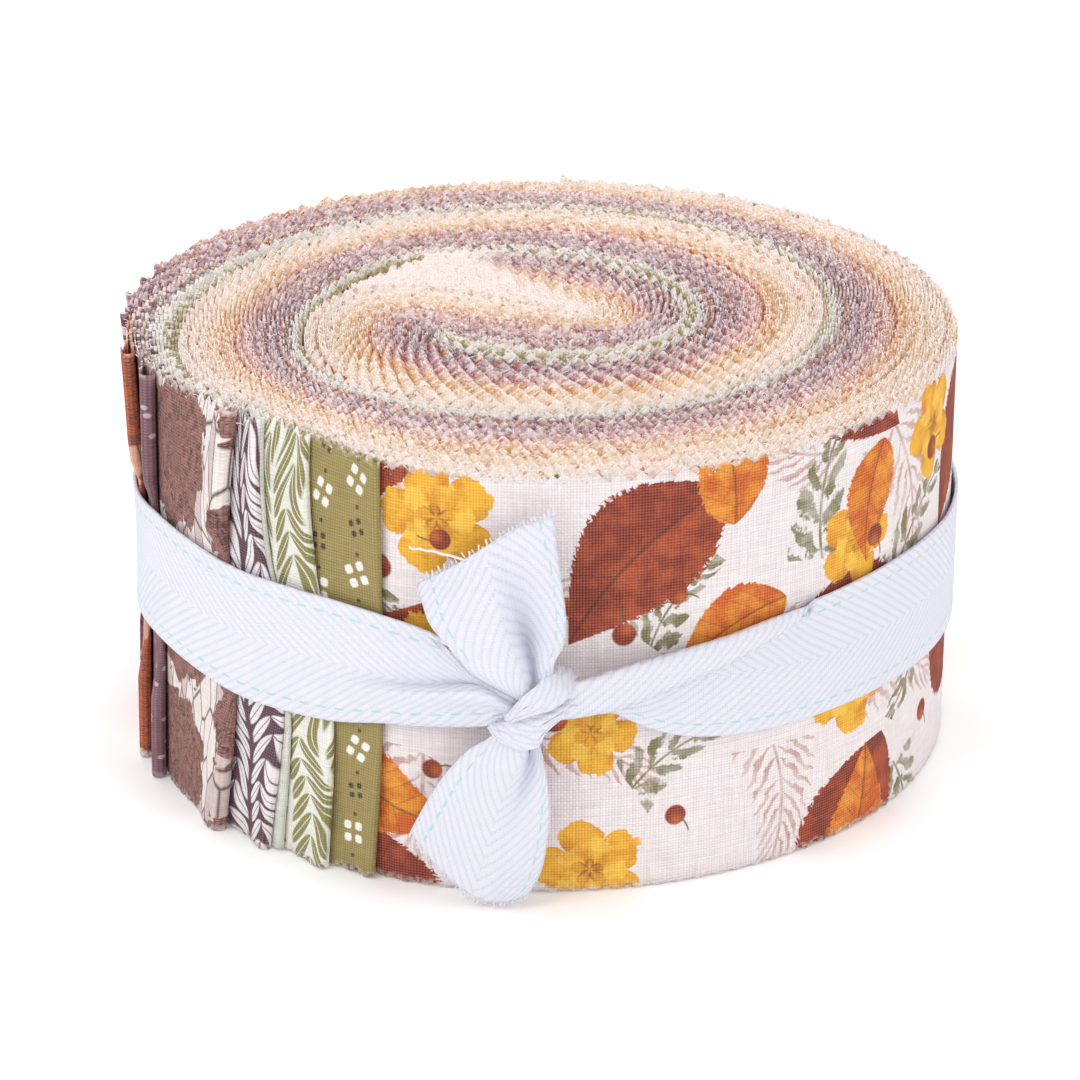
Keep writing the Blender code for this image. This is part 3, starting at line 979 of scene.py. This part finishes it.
# The prints from the green face out: the stack runs from olive over plum, mauve, pink, rust and ochre to
# cream
prints = [
    # kind, ground, motif, accent
    ("blossom", "#9A8A50", "#F6F3EC", "#43381F"),
    ("vine", "#ECEBE2", "#8C874F", "#ECEBE2"),
    ("spot", "#D6D6CC", "#DDDCD3", "#CBCBBE"),
    ("vine", "#5A3A48", "#EEE9EC", "#5A3A48"),
    ("head", "#EDE3DF", "#996A62", "#53322F"),
    ("spot", "#7A5560", "#835F6A", "#C9B2B4"),
    ("head", "#EBC9AC", "#BE5C2C", "#7A4A48"),
    ("blossom", "#744058", "#DCC0CA", "#4A2A38"),
    ("vine", "#DCC2CC", "#74425A", "#DCC2CC"),
    ("check", "#DABEC8", "#7C4860", "#7C4860"),
    ("head", "#DABFC6", "#884E66", "#5B3644"),
    ("blossom", "#8F5466", "#E8CCD2", "#5E3846"),
    ("spot", "#A05450", "#9C6660", "#E8CAC2"),
    ("vine", "#DFC6CE", "#935C72", "#DFC6CE"),
    ("check", "#DDC2C8", "#8F5464", "#8F5464"),
    ("blossom", "#B47078", "#F0DEDC", "#6E4650"),
    ("spot", "#D8A29E", "#CA8480", "#9A5B58"),
    ("head", "#EACDC6", "#BA706A", "#8A4F48"),
    ("check", "#ECCBC2", "#CA8076", "#CA8076"),
    ("vine", "#F3DED4", "#BF7868", "#F3DED4"),
    ("spot", "#E3B49C", "#D59C7C", "#A5502C"),
    ("blossom", "#AE5024", "#F4DCC4", "#6A2E16"),
    ("spot", "#E09A4E", "#E8AC68", "#FAE6CA"),
    ("vine", "#F9E6CE", "#CC8434", "#F9E6CE"),
    ("blossom", "#E4AC66", "#FDF3E6", "#A0622A"),
    ("check", "#F9E6CE", "#DC9E58", "#DC9E58"),
    ("head", "#FDF2E2", "#E6B274", "#AE7238"),
    ("spot", "#F4D2A4", "#F0C68E", "#BC7A38"),
    ("vine", "#FCEEDC", "#DCA868", "#FCEEDC"),
    ("spot", "#F9E4CA", "#F5D8B4", "#C27C3C"),
    ("blossom", "#F3D8BA", "#FDF8F0", "#B06C30"),
    ("check", "#FCF0E4", "#EAC6A4", "#EAC6A4"),
    ("spot", "#FBEDE0", "#F7E0CC", "#BC6238"),
    ("vine", "#FCF2E8", "#E2B08A", "#FCF2E8"),
    ("blossom", "#F9EADC", "#E4A470", "#8C8660"),
    ("spot", "#F8E9DA", "#F2D8C2", "#8A5F5A"),
    ("head", "#FAEFE2", "#E6B892", "#A8683A"),
    ("spot", "#F6E6D8", "#F0D4C0", "#C07A62"),
    ("blossom", "#F4E4D6", "#D98A5A", "#6E6A44"),
    ("autumn", "#F2E8E9", "#F2E8E9", "#F2E8E9"),
]


stripFaces = 0
for number, (kind, ground, motif, accent) in enumerate(prints):
    made = clothMesh(f"strip{number + 1}", stripParts(number))
    made.data.materials.append(printedCotton(f"printedCotton{number + 1}", kind, ground, motif, accent))
    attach(made, "root")
    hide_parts("roll")
    stripFaces += len(made.data.polygons)
print("strips:", len(prints), "faces:", stripFaces)


# Fuzz: single cotton fibres and thread ends that stand up from the cut edges
fuzz = {
    "fibres": 12000,
    "shortest": 0.6,
    "longest": 1.5,
    "thickness": 0.085,
    "lean": 0.75,
    "sunk": 0.45,
    "curl": 0.4,
    "scatter": 0.12,
    "between": 0.25,  # share kept between the core and the outer turns, where the edges are cleaner
    "betweenFrom": 14,
    "betweenTo": 49,
}
fuzzTints = ["#FFFBF6", "#FBEBDC", "#F4DCC6", "#EBC6B4", "#FDF3EA"]


def strand(points, thickness, tint=0.0, along=0.96):
    # A thin closed strand through the points
    points = np.asarray(points, float)
    ahead = np.gradient(points, axis=0)
    side = np.cross(ahead, (0.31, 0.22, 0.93))
    side /= np.maximum(np.linalg.norm(side, axis=1, keepdims=True), 1e-6)
    grid = np.stack([points - side * thickness / 2, points + side * thickness / 2], 1)
    places = np.zeros((len(points), 2, 2))
    places[..., 0] = along
    places[..., 1] = tape["width"] / 2
    tints = np.full((len(points), 2), tint)
    return band(grid, places, np.zeros((len(points), 2)), tints, thickness)


def fuzzParts():
    edges = np.concatenate(topEdges)
    parts = []
    roots = edges[rng.integers(0, len(edges), fuzz["fibres"])]
    radius = np.hypot(roots[:, 0], roots[:, 1])
    cleaner = (radius > fuzz["betweenFrom"]) & (radius < fuzz["betweenTo"])
    for root in roots[~cleaner | (rng.random(len(roots)) < fuzz["between"])]:
        length = rng.uniform(fuzz["shortest"], fuzz["longest"])
        first = np.append(rng.normal(0, fuzz["lean"], 2), 1.0)
        second = first * (1, 1, fuzz["curl"]) + np.append(rng.normal(0, fuzz["lean"], 2), 0)
        first *= length / 2 / np.linalg.norm(first)
        second *= length / 2 / np.linalg.norm(second)
        start = root + (*rng.normal(0, fuzz["scatter"], 2), -fuzz["sunk"])
        middle = start + first
        parts.append(strand([start, middle, middle + second], fuzz["thickness"], rng.random()))
    return parts


def looseFibre():
    # Loose cotton fibre: dull and a little see-through to the eye, so pale against the prints
    made, add, shader = startMaterial("looseCottonFibre", {"Roughness": 0.9, "Specular IOR Level": 0.2})
    tint = add("Attribute", out=2, attribute_name="bare")
    tints = add("ValToRGB", tint)
    stops = tints.node.color_ramp
    stops.interpolation = "CONSTANT"
    for i, colour in enumerate(fuzzTints):
        stop = stops.elements[0] if i == 0 else stops.elements.new(i / len(fuzzTints))
        stop.color = linear(colour)
    stops.elements.remove(stops.elements[len(fuzzTints)])
    made.node_tree.links.new(tints, shader["Base Color"])
    return made


# Twill tape: the band round the roll, its knot and its two tails, in one length. Sizes are in mm.
tape = {
    "width": 19.0,
    "thickness": 0.45,
    "ridge": 0.35,  # share of the width below the pleat's ridge
    "crease": 0.46,  # and below the crease over it
    "step": 1.1,  # degrees from one column of the band to the next
    "bandRadius": 62.0,
    "pleatDepth": 1.6,
    "tailRows": 29,
    "turnRows": 17,
    "turnEdges": (2.0, 9.0),  # the part of the width that shows on a turn of the knot
    "frays": 34,
    "frayLength": 1.0,
    "frayWidths": (0.14, 0.26),
    "fraySpread": 0.2,
    "threadWidth": 0.3,
}

# A thread that has come loose from the upper tail's cut end
looseThread = [
    # x, y, z
    (-9.8, -63.4, 51.7),
    (-10.9, -63.2, 52.0),
    (-12.0, -63.0, 52.3),
    (-13.1, -62.8, 52.4),
    (-14.2, -62.7, 52.8),
    (-15.2, -62.6, 52.8),
    (-16.1, -62.6, 53.1),
    (-16.9, -62.5, 53.0),
    (-17.5, -62.4, 53.3),
]

# The band from the right of the knot round the back to its left. Near the knot it is gathered: at the
# right its upper edge is folded over to the front, and at the left a pleat stands over a deep crease.
bandSections = [
    # azimuth, radius, lower edge, upper edge, pleat height, pleat depth, folded over, how far it is turned
    (1.5, 66.6, 31.4, 34.6, 32.6, 0, 4.6, 1),
    (3.7, 66.4, 31.0, 34.9, 32.6, 0, 4.8, 1),
    (6.0, 65.4, 30.3, 35.0, 32.4, 0, 5.0, 1),
    (8.8, 64.6, 29.4, 35.6, 32.0, 0, 5.6, 1),
    (10.8, 64.2, 28.0, 36.0, 31.5, 0, 5.7, 1),
    (13.5, 63.8, 26.2, 36.4, 31.0, 0, 5.3, 1),
    (18.3, 63.0, 23.9, 36.9, 30.0, 0, 4.7, 1),
    (24.6, 62.4, 22.5, 37.6, 29.5, 0, 3.7, 1),
    (31.2, 62.0, 21.7, 38.5, 29.5, 0, 2.4, 1),
    (34.6, 61.9, 21.6, 38.9, 29.5, 0, 1.1, 0.8),
    (38.0, 61.8, 21.5, 39.3, 29.5, 0, 0.7, 0),
    (48.0, 61.8, 21.3, 39.8, 29.5, 0, 0.7, 0),
    (60.0, 61.8, 20.8, 39.8, 29.5, 0, 0.7, 0),
    (75.0, 61.8, 20.0, 38.9, 29.0, 0, 0.7, 0),
    (100.0, 61.8, 19.2, 38.2, 28.0, 0, 0.7, 0),
    (135.0, 61.8, 18.8, 37.8, 28.0, 0, 0.7, 0),
    (180.0, 61.9, 19.2, 38.2, 28.0, 0, 0.7, 0),
    (230.0, 61.9, 20.2, 39.2, 29.0, 0, 0.7, 0),
    (270.0, 61.9, 21.8, 40.8, 30.0, 0, 0.7, 0),
    (288.0, 61.9, 23.4, 42.6, 31.0, 0, 0.7, 0),
    (297.0, 61.9, 24.4, 43.8, 31.0, 0, 0.7, 0),
    (306.0, 61.9, 24.1, 43.5, 31.0, 0, 0.7, 0),
    (317.5, 61.9, 23.1, 42.5, 30.5, 0, 0.7, 0),
    (326.0, 61.9, 23.4, 42.4, 30.5, 0, 0.7, 0),
    (333.0, 62.0, 23.9, 42.2, 30.6, 0.2, 0.7, 0),
    (340.0, 62.5, 25.3, 41.5, 31.1, 1.0, 0.7, 0),
    (346.0, 63.0, 25.9, 40.3, 32.0, 1.7, 0.7, 0),
    (349.6, 63.5, 26.6, 38.6, 32.8, 2.1, 0.7, 0),
    (352.3, 64.2, 27.2, 36.0, 33.6, 2.1, 0.7, 0),
    (354.4, 65.0, 28.0, 34.6, 33.2, 1.6, 0.7, 0),
    (357.5, 66.0, 29.3, 33.2, 31.8, 0.8, 0.7, 0),
]

# The tails' lines from the knot to the cut end, by their share of the way across. The middle of each
# stands out in a lobe over a hollow that runs up from the knot.
upperTail = {
    0.0: [(-3.4, -66.0, 32.9), (-6.3, -65.4, 34.2), (-9.4, -64.6, 36.0), (-12.7, -63.6, 39.8),
          (-14.7, -62.9, 42.1), (-15.7, -62.4, 44.8), (-16.5, -61.9, 47.6)],
    0.25: [(-2.3, -67.0, 32.6), (-4.4, -67.4, 35.0), (-6.4, -67.2, 37.2), (-8.4, -66.2, 40.4),
           (-9.8, -65.0, 43.4), (-11.0, -63.8, 46.6), (-12.1, -62.8, 50.4)],
    0.5: [(-1.4, -67.4, 33.0), (-2.1, -68.0, 35.7), (-2.8, -67.6, 38.0), (-4.1, -66.8, 41.0),
          (-5.0, -65.8, 44.0), (-6.0, -64.6, 48.0), (-7.3, -63.6, 53.8)],
    0.58: [(-1.0, -66.4, 33.4), (-1.3, -65.0, 36.2), (-1.9, -63.4, 38.6), (-2.7, -63.0, 41.2),
           (-3.3, -63.0, 44.2), (-4.1, -63.2, 48.6), (-5.7, -63.6, 54.9)],
    0.68: [(-0.5, -66.2, 33.8), (-0.6, -64.6, 36.9), (-0.9, -63.3, 39.3), (-1.1, -62.9, 42.1),
           (-1.3, -63.0, 45.3), (-1.9, -63.3, 49.9), (-3.8, -63.8, 56.2)],
    0.82: [(0.3, -66.6, 34.1), (0.3, -66.8, 37.6), (1.0, -66.7, 40.3), (1.3, -66.4, 43.1),
           (1.2, -65.9, 46.6), (0.6, -65.3, 51.2), (-1.4, -64.3, 57.4)],
    1.0: [(1.3, -66.0, 34.7), (2.0, -67.0, 38.6), (3.1, -67.2, 40.8), (3.5, -66.9, 43.9),
          (3.2, -66.2, 47.5), (2.5, -65.4, 52.5), (1.9, -64.4, 58.5)],
}
lowerTail = {
    0.0: [(-5.2, -66.2, 28.0), (-7.2, -65.7, 26.3), (-9.9, -65.0, 24.2), (-12.9, -64.2, 20.3),
          (-14.6, -63.6, 17.4), (-16.4, -63.1, 13.8), (-17.8, -62.6, 10.7)],
    0.25: [(-3.9, -67.2, 27.4), (-5.4, -67.0, 24.8), (-7.2, -66.4, 21.6), (-9.0, -65.6, 17.6),
           (-10.6, -64.9, 13.8), (-12.4, -64.2, 9.8), (-14.1, -63.8, 5.8)],
    0.5: [(-2.4, -67.9, 27.0), (-2.4, -67.9, 24.6), (-3.6, -67.2, 21.6), (-5.2, -66.4, 17.4),
          (-6.6, -65.8, 12.4), (-7.9, -65.4, 7.2), (-9.4, -65.1, 1.9)],
    0.6: [(-1.8, -66.6, 27.0), (-1.6, -65.2, 24.4), (-2.0, -64.8, 21.2), (-3.2, -65.0, 16.6),
          (-4.4, -65.2, 11.6), (-5.6, -65.3, 6.4), (-6.9, -65.5, 1.2)],
    0.8: [(-1.0, -66.9, 26.9), (-0.4, -66.4, 24.0), (-0.3, -66.2, 20.4), (-0.8, -66.2, 15.8),
          (-1.5, -66.0, 10.8), (-2.6, -65.9, 5.8), (-4.2, -65.8, 1.5)],
    1.0: [(-0.2, -66.9, 27.0), (0.4, -66.7, 23.6), (1.1, -66.3, 19.3), (1.3, -66.0, 14.8),
          (0.9, -65.9, 10.0), (0.1, -65.9, 6.0), (-1.6, -65.9, 2.5)],
}

# The knot's two turns that show: one that slants down over the front, and one round the lower tail
knotTurn = {
    0.0: [(1.6, -63.6, 36.0), (0.8, -65.8, 36.2), (-0.2, -67.6, 35.3), (-1.9, -68.4, 34.2),
          (-3.2, -68.2, 32.6), (-3.9, -66.8, 30.9), (-4.0, -64.8, 29.8)],
    1.0: [(5.0, -63.4, 34.2), (4.4, -66.0, 34.6), (3.7, -68.4, 33.9), (1.6, -69.6, 32.7),
          (-0.9, -69.8, 32.0), (-3.1, -68.9, 30.6), (-3.8, -66.4, 29.2)],
}
tailTurn = {
    0.0: [(-6.0, -63.8, 28.0), (-5.6, -65.8, 28.6), (-3.9, -67.6, 30.0), (-2.4, -68.4, 31.0),
          (-0.6, -68.7, 31.9), (1.6, -68.4, 32.6), (3.4, -67.2, 33.2), (4.8, -65.4, 33.6)],
    1.0: [(-6.3, -63.6, 26.4), (-6.1, -65.6, 27.0), (-4.9, -67.4, 26.7), (-2.6, -68.6, 26.3),
          (-0.3, -68.7, 26.9), (0.9, -68.8, 29.3), (3.3, -67.4, 31.0), (4.8, -65.6, 31.2)],
}


def guideSheet(guides, columns, rows):
    # A sheet through guide lines: columns along them, and rows across at the given shares
    shares = sorted(guides)
    lines = []
    for share in shares:
        points = [(i, *point) for i, point in enumerate(guides[share])]
        at = np.linspace(0, len(points) - 1, columns)
        lines.append(np.stack([smooth(points, at, axis) for axis in (1, 2, 3)], -1))
    grid = np.empty((columns, len(rows), 3))
    for c in range(columns):
        for axis in range(3):
            across = [(share, lines[i][c, axis]) for i, share in enumerate(shares)]
            grid[c, :, axis] = smooth(across, rows)
    return grid


def alongGrid(grid, start):
    # Length along the middle of a sheet, from its first column
    middle = grid[:, grid.shape[1] // 2]
    steps = np.linalg.norm(np.diff(middle, axis=0), axis=1)
    return start + np.concatenate([[0], np.cumsum(steps)])


def tapeSheet(grid, along, across, reverse=0.0):
    u = np.broadcast_to(np.asarray(along)[:, None], grid.shape[:2])
    v = np.broadcast_to(np.asarray(across), grid.shape[:2])
    back = np.broadcast_to(np.asarray(reverse), grid.shape[:2])
    places = np.stack([u, v], -1)
    return band(grid, places, np.zeros(grid.shape[:2]), back, tape["thickness"])


def frayedEnd(grid):
    # Short thread ends along a tail's cut end
    end = grid[-1]
    ahead = grid[-1] - grid[-2]
    parts = []
    for at in np.linspace(0.2, len(end) - 1.2, tape["frays"]):
        i = int(at)
        root = end[i] + (end[i + 1] - end[i]) * (at - i)
        way = ahead[i] / np.linalg.norm(ahead[i]) + rng.normal(0, tape["fraySpread"], 3) * (1, 0.5, 1)
        tip = root + way * tape["frayLength"] * rng.uniform(0.3, 1.0)
        tip[2] = max(tip[2], 0.2)  # clear of the floor
        line = [root - way * 0.3, (root + tip) / 2, tip]
        parts.append(strand(line, rng.uniform(*tape["frayWidths"]), 1.0))
    return parts


def bandSheet():
    first, last = bandSections[0][0], bandSections[-1][0]
    columns = int((last - first) / tape["step"])
    azimuth = np.linspace(first, last, columns)[:, None]
    radius, lower, upper, pleat, depth, over, turned = (smooth(bandSections, azimuth, c) for c in range(1, 8))
    # rows across the band, closest at the pleat, and across the part of it that is folded over
    inner = [0, 0.03, 0.08, 0.14, 0.2, 0.26, 0.31, 0.35, 0.39, 0.43, 0.47, 0.53, 0.61, 0.7, 0.8, 0.9, 1.0]
    inner = np.array(inner)
    outer = np.array([0.08, 0.2, 0.4, 0.7, 1.0])
    top = 1 - over / tape["width"]
    gather = np.clip(depth / tape["pleatDepth"], 0, 1)
    turnHeight = upper - (1 - turned) * over
    share = inner[None, :]
    flat = lower + (turnHeight - lower) * share
    low = lower + (pleat - lower) * np.clip(share / tape["ridge"], 0, 1)
    high = pleat + (turnHeight - pleat) * np.clip((share - tape["crease"]) / (1 - tape["crease"]), 0, 1)
    pleated = np.where(share < tape["crease"], low, high)
    height = flat + (pleated - flat) * gather
    stand = depth * np.exp(-(((share - tape["ridge"] + 0.02) / 0.1) ** 2))
    stand -= 0.3 * depth * np.exp(-(((share - tape["crease"] - 0.02) / 0.05) ** 2))
    stand += 0.3 * depth * np.sin(np.pi * np.clip((share - tape["crease"]) / (1 - tape["crease"]), 0, 1))
    stand += 0.1 * depth * np.cos(share * 70) * (share < tape["ridge"])
    fold = outer[None, :] * over
    foldHeight = turnHeight + fold * np.cos(np.pi * turned)
    foldStand = fold * np.sin(np.pi * turned) * 0.5 + turned * 0.8 * np.clip(fold / 0.5, 0, 1)
    heights = np.concatenate([height, foldHeight], 1)
    radii = np.concatenate([radius + stand, radius + foldStand], 1)
    azimuths = np.broadcast_to(azimuth, heights.shape)
    grid = leanInwards(np.concatenate([polar(azimuths, radii), heights[:, :, None]], -1))
    across = np.concatenate([share * top, top + fold / tape["width"]], 1) * tape["width"]
    reverse = np.repeat([0.0, 1.0], [len(inner), len(outer)])
    return tapeSheet(grid, np.radians(azimuth[:, 0]) * tape["bandRadius"], across, reverse)


def tailSheet(guides, columns, start):
    rows = np.linspace(0, 1, tape["tailRows"])
    grid = guideSheet(guides, columns, rows)
    return [tapeSheet(grid, alongGrid(grid, start), rows * tape["width"]), *frayedEnd(grid)]


def turnSheet(guides, columns, start, bulge, creases):
    # A turn of the knot: rounded across, with creases along it
    rows = np.linspace(0, 1, tape["turnRows"])
    grid = guideSheet(guides, columns, rows)
    along = np.gradient(grid, axis=0)
    across = np.gradient(grid, axis=1)
    out = np.cross(along, across)
    out /= np.linalg.norm(out, axis=-1, keepdims=True)
    if out[columns // 2, len(rows) // 2, 1] > 0:
        out = -out
    lift = bulge * (4 * rows * (1 - rows)) ** 0.6 + creases * np.cos(rows * 2 * np.pi * 3 + 0.6)
    grid = grid + out * lift[None, :, None]
    near, far = tape["turnEdges"]
    return tapeSheet(grid, alongGrid(grid, start), near + rows * (far - near), 1.0)


# Herringbone cotton twill: bleached white, matt, with slanting ribs that meet in a spine along the middle,
# and a running stitch in pale teal along both selvedges
twill = {
    "ribPitch": 1.1,
    "slant": 35,
    "pick": 0.38,
    "relief": 0.16 * mm,
    "roughness": 0.8,
    "specular": 0.3,
    "colour": "#E7E8F2",
    # colour of the painted shade in the grooves between ribs and threads
    "gap": "#D8D9E7",
    "stitch": "#B8DEDF",
    "stitchIn": 2.0,
    "stitchLength": 2.9,
    "stitchWidth": 0.22,
}


def herringboneTwill():
    finish = {"Roughness": twill["roughness"], "Specular IOR Level": twill["specular"]}
    made, add, shader = startMaterial("herringboneCottonTwill", finish)
    place = add("Attribute", out=1, attribute_name="cloth")
    reverse = add("Attribute", out=2, attribute_name="bare")
    split = add("SeparateXYZ", place).node.outputs
    fromSpine = add("Math ABSOLUTE", add("Math SUBTRACT", split[1], tape["width"] / 2))
    slant = math.radians(twill["slant"])
    rib = add("Math MULTIPLY", split[0], math.sin(slant))
    rib = add("Math MULTIPLY_ADD", fromSpine, math.cos(slant), rib)
    rib = add("Math SINE", add("Math MULTIPLY", rib, math.pi / twill["ribPitch"]))
    rib = add("Math POWER", add("Math ABSOLUTE", rib), 0.7)
    picks = add("VectorMath SCALE", place, in3=math.pi / twill["pick"])
    picks = add("VectorMath SINE", picks)
    picks = add("SeparateXYZ", picks).node.outputs
    thread = add("Math ABSOLUTE", add("Math MULTIPLY", picks[0], picks[1]))
    height = add("Math MULTIPLY_ADD", thread, 0.6, rib)
    # painted shade: the twill goes darker in the grooves between ribs and between threads, and lighter on
    # their tops
    tone = add("MapRange", height, 0.2, 1.2)
    colour = add("Mix", tone, linear(twill["gap"]), linear(twill["colour"]))
    dash = add("Math MULTIPLY", split[0], 1 / twill["stitchLength"])
    dash = add("Math PINGPONG", dash, 0.5)
    dash = add("Math MULTIPLY_ADD", dash, 14.0, -2.8, use_clamp=True)
    line = add("Math SUBTRACT", fromSpine, tape["width"] / 2 - twill["stitchIn"])
    line = add("Math SUBTRACT", twill["stitchWidth"], add("Math ABSOLUTE", line))
    line = add("Math MULTIPLY", line, 9.0, use_clamp=True)
    stitch = add("Math MULTIPLY", dash, line)
    stitch = add("Math SUBTRACT", stitch, reverse, use_clamp=True)
    colour = add("Mix", stitch, colour, linear(twill["stitch"]))
    made.node_tree.links.new(colour, shader["Base Color"])
    relief = add("Bump", 0.8, twill["relief"], 1.0, height)
    made.node_tree.links.new(relief, shader["Normal"])
    return made


tapeObject = clothMesh(
    "twillTape",
    [
        bandSheet(),
        *tailSheet(upperTail, 60, 400.0),
        *tailSheet(lowerTail, 60, 450.0),
        strand(looseThread, tape["threadWidth"], 1.0),
        turnSheet(knotTurn, 40, 500.0, 0.7, 0.12),
        turnSheet(tailTurn, 40, 520.0, 0.7, 0.16),
    ],
)
tapeObject.data.materials.append(herringboneTwill())
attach(tapeObject, "root")
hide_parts("tape")
print("tape:", len(tapeObject.data.polygons), "faces")

fuzzObject = clothMesh("edgeFuzz", fuzzParts())
fuzzObject.data.materials.append(looseFibre())
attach(fuzzObject, "root")
print("fuzz:", fuzz["fibres"], "fibres")


# Camera, floor and light
view = {"elevation": 23.70, "distance": 606.4, "aimHeight": 26.89, "focal": 4037.5, "frame": 1080}
cameraData = bpy.data.cameras.new("camera")
cameraData.sensor_width = 36
cameraData.lens = view["focal"] * 36 / view["frame"]
camera = bpy.data.objects.new("camera", cameraData)
bpy.context.scene.collection.objects.link(camera)
tilt = math.radians(view["elevation"])
camera.location = (
    0,
    -view["distance"] * math.cos(tilt) * mm,
    (view["aimHeight"] + view["distance"] * math.sin(tilt)) * mm,
)
camera.rotation_euler = (math.pi / 2 - tilt, 0, 0)
bpy.context.scene.camera = camera


def softBox(name, place, aim, size, power):
    data = bpy.data.lights.new(name, "AREA")
    data.shape = "SQUARE"
    data.size = size
    data.energy = power
    lamp = bpy.data.objects.new(name, data)
    bpy.context.scene.collection.objects.link(lamp)
    lamp.location = place
    away = np.array(place) - np.array(aim)
    flat = math.hypot(away[0], away[1])
    lamp.rotation_euler = (math.atan2(flat, away[2]), 0, math.atan2(away[1], away[0]) + math.pi / 2)
    return lamp


softBox("leftBox", (-0.55, -0.45, 0.55), (0, 0, 0.03), 0.45, 2.3)
softBox("rightBox", (0.6, -0.5, 0.4), (0, 0, 0.03), 0.5, 1.4)
softBox("topBox", (0.0, 0.15, 0.8), (0, 0, 0.03), 0.5, 2.5)

world = bpy.data.worlds.new("studio")
bpy.context.scene.world = world
world.use_nodes = True
background = world.node_tree.nodes["Background"].inputs
background["Color"].default_value = (1, 1, 1, 1)
background["Strength"].default_value = 0.62
bpy.context.scene.view_settings.view_transform = "Standard"

bpy.ops.mesh.primitive_plane_add(size=40)
floor = bpy.context.active_object
floor.name = "floor"
# Backdrop paper: white and matt, lit so far that it shows no edge
paper = {
    "Base Color": linear("#FFFFFF"),
    "Roughness": 0.9,
    "Emission Color": linear("#FFFFFF"),
    "Emission Strength": 0.12,
}
floor.data.materials.append(startMaterial("whitePaper", paper)[0])
